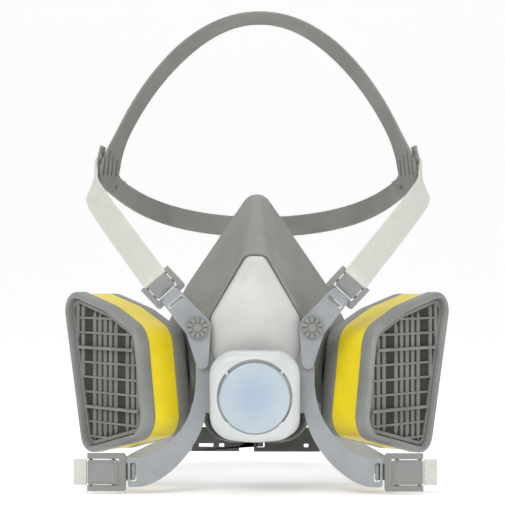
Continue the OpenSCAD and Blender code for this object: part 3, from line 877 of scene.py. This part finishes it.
def strap(name, path, across, width=STRAP_W):
    """Band along path; across is the direction of its width at each point. Its UVs are in metres."""
    rings = [[tuple(p + side * x * width + face * y * STRAP_T) for x, y in SECTION]
             for p, side, face in frames(path, across)]
    along = [0.0]
    for p, q in zip(path, path[1:]):
        along.append(along[-1] + (q - p).length)
    made = skin(name, rings)
    n = len(SECTION)
    if len(made.data.vertices) == n * len(rings):
        layer = made.data.uv_layers.new(name="UVMap")
        for face in made.data.polygons:
            for loop in face.loop_indices:
                v = made.data.loops[loop].vertex_index
                layer.data[loop].uv = (along[v // n] * MM, SECTION[v % n][0] * MM * 12)
    return made


def through(points, n):
    """Smooth curve through every point, with n steps between neighbours."""
    points = [Vector(p) for p in points]
    last = len(points) - 1
    made = []
    for i in range(last):
        a, b, c, d = points[max(i - 1, 0)], points[i], points[i + 1], points[min(i + 2, last)]
        for k in range(n):
            t = k / n
            made.append((2 * b + (c - a) * t + (2 * a - 5 * b + 4 * c - d) * t * t
                         + (3 * b - a - 3 * c + d) * t ** 3) / 2)
    return made + [points[last]]


HEAD_PATH = [(46.9, -56.1, 18.9), (49, -55.8, 21.5), (59, -32, 33), (71.4, -5, 47.3), (80.5, 18, 58.2),
             (84.6, 36, 64.3), (84.4, 46.5, 68.8), (83.9, 52.5, 72.6), (82.2, 57, 76)]
HEAD_LOW = Vector((-0.755, 0, 0.656))
HEAD_HIGH = Vector((0.27, -0.52, 0.81))
NECK_PATH = [(66, YOKE_Y + 5.5, -73.4), (64, -30, -73.6), (62, 0, -73.6), (56, 40, -72), (47, 76, -70.6),
             (37, 98.6, -69)]


def mirrored(p, side):
    """The point or direction p on the given side."""
    return Vector((p.x * side, p.y, p.z))


def web(made, replaced, body=None):
    """Finishes a band of webbing; one that bends between two bodies rides on neither."""
    finish(made, made.name, WEBBING, body, [replaced], sharp=60)


def head_strap(side, name, tucked=16):
    """Strap from the upper buckle to the cradle; its first steps, in the buckle, aren't turned."""
    path = through(HEAD_PATH, 16)
    last = len(path) - 1
    turned = [(max(i - tucked, 0) / (last - tucked)) ** 1.8 for i in range(last + 1)]
    path = [mirrored(p, side) for p in path]
    across = [mirrored(HEAD_LOW.lerp(HEAD_HIGH, t), side) for t in turned]
    split = last // 2
    low = strap("head_strap_low_" + name, path[:split + 1], across[:split + 1])
    web(low, "head_strap_" + name)
    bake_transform(low)
    high = strap("head_strap_high_" + name, path[split:], across[split:])
    web(high, "head_strap_" + name)
    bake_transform(high)


def neck_strap(side, name, steps=60):
    """Strap from the lower buckle to the clasp, whose hook half is on the left."""
    path = [mirrored(bezier(NECK_PATH, k / steps), side) for k in range(steps + 1)]
    across = [Vector((0, 0, 1))] * len(path)
    split = steps // 2
    front = strap("neck_strap_front_" + name, path[:split + 1], across, STRAP_W - 0.8)
    web(front, "neck_strap_" + name)
    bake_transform(front)
    back = strap("neck_strap_back_" + name, path[split:], across, STRAP_W - 0.8)
    web(back, "neck_strap_" + name, "facepiece" if side > 0 else None)
    if side < 0:
        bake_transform(back)


TAIL_START = (79.3, -56.1, -71.5)
TAIL_LENGTH = 6.2


def strap_tail(side, name, steps=14):
    """Short free end of the webbing outside the lower buckle, slightly waved."""
    x, y, z = TAIL_START
    path = [Vector(((x + TAIL_LENGTH * k / steps) * side, y + 0.5 * math.sin(k / 5), z))
            for k in range(steps + 1)]
    made = strap("strap_tail_web_" + name, path, [Vector((0, 0, 1))] * len(path), STRAP_W - 0.6)
    web(made, "strap_tail_" + name, "neck_buckle_" + name)


for side, name in SIDES:
    head_strap(side, name)
    neck_strap(side, name)
    strap_tail(side, name)

# ---------------------------------------------------------------- head cradle

CROWN_HALF = [(79.5, 58, 65.5), (75.6, 62, 97), (48, 88, 145), (22, 106, 158.8), (0, 106, 158.8)]
REAR_HALF = [(80.9, 54, 71.5), (70, 80, 62), (63, 140, 50), (25, 142, 46), (0, 142, 46)]
PLATE_DIR = (-0.46, 0.89)
PLATE_AT = (78.6, 58.6, 76)
PLATE_HEADING = math.degrees(math.atan2(PLATE_DIR[1], PLATE_DIR[0])) - 90
PLATE_FRAME = at(*PLATE_AT) @ turn(PLATE_HEADING, "Z")
PLATE_W = 18.5
GUSSET_AT = (17.4, 2.2)
GUSSET_R = 8.8
HOLE_AT = (75.2, 69.5, 66)
CRADLE_W = 11.5
CRADLE_T = 1.8


def both_ways(points, steps):
    """The curve steered by points, on to its mirror image."""
    half = [bezier(points, k / steps) for k in range(steps + 1)]
    return half + [Vector((-p.x, p.y, p.z)) for p in half[-2::-1]]


def crown_across(p):
    """Direction of the crown strap's width at p: flat on the side of the head, and along it on top."""
    lift = max(p.z - 80, 0) / 80
    way = min(abs(p.x) / 40, 1) * (1 if p.x > 0 else -1 if p.x < 0 else 0)
    return Vector((PLATE_DIR[0] * way, PLATE_DIR[1], -0.5 * lift)).normalized()


def crown_width(p):
    """Widens from the band to the corner plate, then narrows towards the plate's rounded lower end."""
    width = CRADLE_W + (PLATE_W - CRADLE_W) * max(1 - max(p.z - 78, 0) / 20, 0) ** 2
    return width * (1 - 0.5 * (max(73 - p.z, 0) / 7.5) ** 2)


def rail_section(w, t, n=16):
    """Section of a moulded band with a slightly thicker, rounded rim along each edge."""
    half, thicker = w / 2 - 0.5, 0.22
    points = []
    for way in (1, -1):
        for k in range(n + 1):
            u = way * (-1 + 2 * k / n)
            points.append((half * u, way * (t / 2 - thicker + thicker * ease((abs(u) - 0.76) / 0.1))))
        for k in range(1, 6):
            a = math.pi * k / 6
            points.append((way * (half + 0.5 * math.sin(a)), way * t / 2 * math.cos(a)))
    return points


def moulded_band(name, path, across, widths):
    return skin(name, [[tuple(p + side * x + face * y) for x, y in rail_section(width, CRADLE_T)]
                       for (p, side, face), width in zip(frames(path, across), widths)])


def head_cradle():
    """Crown strap and rear strap in one, with a slotted corner plate on each side."""
    crown = both_ways(CROWN_HALF, 70)
    rear = both_ways(REAR_HALF, 60)
    made = moulded_band("crown", crown, [crown_across(p) for p in crown], [crown_width(p) for p in crown])
    back = moulded_band("rear", rear, [Vector((0, -0.1, 1))] * len(rear), [CRADLE_W] * len(rear))
    cut(made, back, how="UNION")
    arc = [polar(GUSSET_R, a, *GUSSET_AT) for a in range(180, 271, 6)]
    gusset = [(7, -9), (7, 4)] + arc + [(GUSSET_AT[0], -9)]
    for side, _ in SIDES:
        fill = skin("gusset", [raised(gusset, h) for h in (-CRADLE_T / 2 + 0.05, CRADLE_T / 2 - 0.05)])
        cut(made, place(fill, PLATE_FRAME @ turn(90, "Z") @ turn(90, "X"), side), how="UNION")
    remesh(made, 0.5, 4)
    for side, _ in SIDES:
        for k in range(4):
            high = 13 - 2 * abs(k - 1)
            tool = slab("slot", [rounded(1.3, high, 0.6, n=32)], -6, 6, 0.05, 0)
            spot = PLATE_FRAME @ at(0, -5.2 + 4.1 * k, 2.4 - 1.2 * abs(k - 1))
            cut(made, place(tool, spot @ turn(90, "Z") @ turn(90, "X"), side))
        hole = cylinder("hole", 0.9, -6, 6, 24)
        cut(made, place(hole, at(*HOLE_AT) @ turn(PLATE_HEADING, "Z") @ turn(90, "Y"), side))
    finish(made, "cradle_moulding", CRADLE, "cradle", ["head_cradle"], sharp=45)


head_cradle()


def strap_clip(side, name):
    """Thin clip along the outside of the corner plate's front edge, where the strap ends."""
    leaf = block("leaf", (1.1, -8.6, 0.6), (2.3, -3.6, 9.8), 0.25)
    made = cut(leaf, block("window", (0.5, -7.2, 3.2), (3, -5, 5.4), 0.1))
    place(made, PLATE_FRAME @ turn(-7, "Y") @ turn(-12, "X"), side)
    finish(made, "strap_clip_moulding_" + name, GREY, "cradle", ["strap_clip_" + name])


for side, name in SIDES:
    strap_clip(side, name)

# ---------------------------------------------------------------- cartridges

FACE = [(29.3, 2.9, 9.5), (6, -16, 23), (14.6, -56, 9.5), (-15, -14.5, 14), (-22, -45.5, 12)]
BAND_IN = 9.0
BAND_OUT = 22.7
FACE_N = 220


def face_ring(d, h):
    """The cartridge's outline grown by d, at the height h above its back."""
    return raised(outline(grow(FACE, d), FACE_N), h)


# Section of the housing's wall, as (growth, height): back edge, base, groove for the band, rim, inside
BODY_SIDE = [(-5, 0.0), (-4.0, 0.2), (-3.1, 0.8), (-2.3, 1.8), (-1.6, 3.3), (-1.15, 5.2), (-1.0, 7.4),
             (-1.0, BAND_IN - 0.3), (-1.1, BAND_IN), (-1.5, BAND_IN + 0.05),
             (-1.5, BAND_OUT - 0.1), (-0.9, BAND_OUT), (-0.3, BAND_OUT + 0.25), (0, BAND_OUT + 0.9),
             (0, CARTRIDGE_T - 1.9), (-0.2, CARTRIDGE_T - 1.0), (-0.7, CARTRIDGE_T - 0.35),
             (-1.4, CARTRIDGE_T - 0.05), (-2.1, CARTRIDGE_T - 0.1), (-2.8, CARTRIDGE_T - 0.5),
             (-3.1, CARTRIDGE_T - 1.2), (-3.4, CARTRIDGE_T - 4), (-3.6, CARTRIDGE_T - 5), (-3.6, 3.0)]


def cartridge_body(side, name):
    """Housing: its wall, and a floor of two plates with the port's hole."""
    wall = skin("body", [face_ring(d, h) for d, h in BODY_SIDE], caps=(False, False))
    hole = circle(*PORT_AT, PORT_R - 2.2)
    floor = slab("floor", [outline(grow(FACE, -3.4), 160), hole], 1.2, 3.0, 0.1, 1)
    back = slab("back", [outline(grow(FACE, -4.6), 160), hole], 0.0, 1.4, 0.15, 1)
    made = join("cartridge_housing_" + name, [wall, floor, back])
    place(made, CARTRIDGE, side)
    finish(made, made.name, GREY, "facepiece", ["cartridge_body_" + name], sharp=35)


LAP = range(100, 118)


def cartridge_label(side, name):
    """Plain band with a lapped end, where the real one carries print."""
    inner, outer, lapped = (outline(grow(FACE, d), FACE_N) for d in (-1.48, -1.02, -0.82))
    low, high = BAND_IN + 0.25, BAND_OUT - 0.25
    band = skin("label", [raised(inner, low), raised(outer, low), raised(outer, high), raised(inner, high)],
                closed=True)
    bottom, top = low + 0.2, high - 0.2
    lap = [[(*outer[k], bottom), (*lapped[k], bottom), (*lapped[k], top), (*outer[k], top)] for k in LAP]
    made = join("cartridge_band_" + name, [band, skin("lap", lap)])
    place(made, CARTRIDGE, side)
    finish(made, made.name, YELLOW, "facepiece", ["cartridge_label_" + name], sharp=40)


ROW_PITCH = 7.2
ROW_TOP = 7.0
ROWS = 10
LONG_ROWS = (3, 7)
# Each upright column of louvres, as (x from, x to, louvres)
COLUMNS = ((-27.5, -13, 3), (-7.5, 17, 5), (23, 33, 2))


def chord(d, value, axis):
    """Where a line across the outline grown by d enters and leaves it; axis 0 is at x = value, 1 at y."""
    loop = outline(grow(FACE, d), 400)
    met = []
    for p, q in zip(loop, loop[1:] + loop[:1]):
        if (p[axis] - value) * (q[axis] - value) <= 0 and abs(q[axis] - p[axis]) > 1e-9:
            met.append(lerp(p[1 - axis], q[1 - axis], (value - p[axis]) / (q[axis] - p[axis])))
    return (min(met), max(met)) if met else (0, 0)


def cartridge_grille(side, name):
    """Louvres in three upright columns, thin rungs across them, and two long ribs."""
    back, front = CARTRIDGE_T - 4.2, CARTRIDGE_T - 1.9
    parts = [slab("rim", [outline(grow(FACE, -3.7), 160), outline(grow(FACE, -5.6), 160)],
                  back, front - 0.6, 0.25, 2)]
    for x0, x1, fins in COLUMNS:
        for k in range(fins):
            x = x0 + (x1 - x0) / fins * (k + 0.5)
            low, high = chord(-5.2, x, 0)
            if high - low < 6:
                continue
            half = (high - low) / 2
            fin = block("fin", (-0.95, -half, -0.45), (0.95, half, 0.45), 0.2)
            parts.append(place(fin, at(x, (low + high) / 2, front - 1.5) @ turn(-40, "Y")))
    for k in range(ROWS):
        y = ROW_TOP - ROW_PITCH * k
        low, high = chord(-5.2, y, 1)
        if high - low < 10:
            continue
        if k in LONG_ROWS:
            parts.append(block("rib", (low, y - 0.75, back + 0.2), (high, y + 0.75, front + 0.7), 0.3))
        else:
            parts.append(block("rung", (low, y - 0.55, front - 2.1), (high, y + 0.55, front - 0.75), 0.25))
    made = join("cartridge_louvres_" + name, parts)
    place(made, CARTRIDGE, side)
    finish(made, made.name, GRILLE, "facepiece", ["cartridge_grille_" + name], sharp=40)


for side, name in SIDES:
    cartridge_body(side, name)
    cartridge_label(side, name)
    cartridge_grille(side, name)

# ---------------------------------------------------------------- floor and light


FLOOR_Z = -82
FLOOR_X = 4000
FLOOR_FRONT, FLOOR_BACK = -2500, 1500
FLOOR_BEND = 900
WALL_HEIGHT = 3000


def floor_sheet():
    """Floor that curves up into a wall at the back."""
    steps, bends = 24, 16
    rows = [(lerp(FLOOR_FRONT, FLOOR_BACK, k / steps), FLOOR_Z) for k in range(steps + 1)]
    for k in range(1, bends + 1):
        a = math.pi / 2 * k / bends
        rows.append((FLOOR_BACK + FLOOR_BEND * math.sin(a), FLOOR_Z + FLOOR_BEND * (1 - math.cos(a))))
    rows.append((FLOOR_BACK + FLOOR_BEND, FLOOR_Z + FLOOR_BEND + WALL_HEIGHT))
    verts = [(x, y, z) for y, z in rows for x in (-FLOOR_X, FLOOR_X)]
    faces = [(2 * k, 2 * k + 1, 2 * k + 3, 2 * k + 2) for k in range(len(rows) - 1)]
    made = mesh_object("floor", verts, faces)
    made.data.polygons.foreach_set("use_smooth", [True] * len(made.data.polygons))
    return made


floor = floor_sheet()
PAPER = surface("floor_paper", (250, 250, 250), (249, 249, 249), 0.9, grain=300, bump=0.00002,
                Emission_Color=(1, 1, 1, 1), Emission_Strength=0.3)
floor.data.materials.append(PAPER)


def softbox(name, place_at, aim, size, power):
    data = bpy.data.lights.new(name, "AREA")
    data.shape = "RECTANGLE"
    data.size, data.size_y = size
    data.energy = power
    lamp = show(name, data)
    lamp.location = place_at
    lamp.rotation_euler = (Vector(aim) - Vector(place_at)).to_track_quat("-Z", "Y").to_euler()


softbox("key", (-0.4, -1.2, 0.9), (0, 0, 0.02), (0.8, 0.6), 11)
softbox("fill", (0.9, -1.0, 0.35), (0, 0, 0.02), (0.8, 0.8), 3.5)
softbox("top", (0, 0.1, 1.2), (0, 0.02, 0.05), (1.0, 0.8), 5)
world = bpy.data.worlds.new("studio")
world.use_nodes = True
sky = world.node_tree.nodes["Background"]
sky.inputs["Color"].default_value = (1, 1, 1, 1)
sky.inputs["Strength"].default_value = 0.45
bpy.context.scene.world = world
bpy.context.scene.view_settings.view_transform = "Standard"
